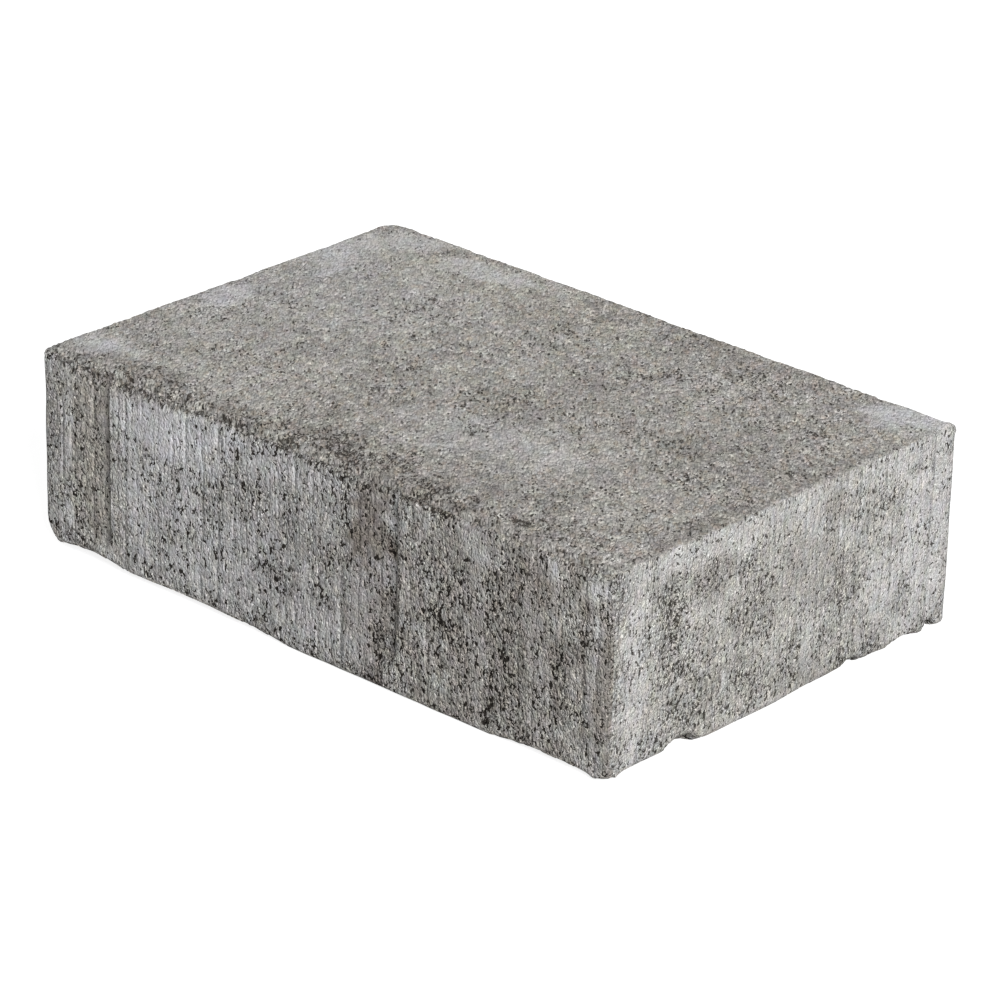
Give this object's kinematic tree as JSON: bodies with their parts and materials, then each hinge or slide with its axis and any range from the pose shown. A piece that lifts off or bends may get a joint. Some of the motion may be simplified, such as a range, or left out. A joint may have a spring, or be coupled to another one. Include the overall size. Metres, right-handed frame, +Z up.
{
  "type": "concrete paving stone",
  "caption": "Rectangular pressed concrete paving stone with a flat wearing face, rounded arrises and shallow upright mould grooves in its sides.",
  "frame": {"origin": "middle of the bed, the face that the stone lies on", "axes": "+X along the length, +Y along the width, +Z up through the wearing face"},
  "size_m": [0.21, 0.14, 0.06],
  "materials": {
    "concrete": "dry pressed grey concrete: sandy and open-pored on top, streaked upright on the sides, with patches of smooth pale paste"
  },
  "bodies": {
    "root": {"paving_stone": "concrete"}
  },
  "joints": []
}
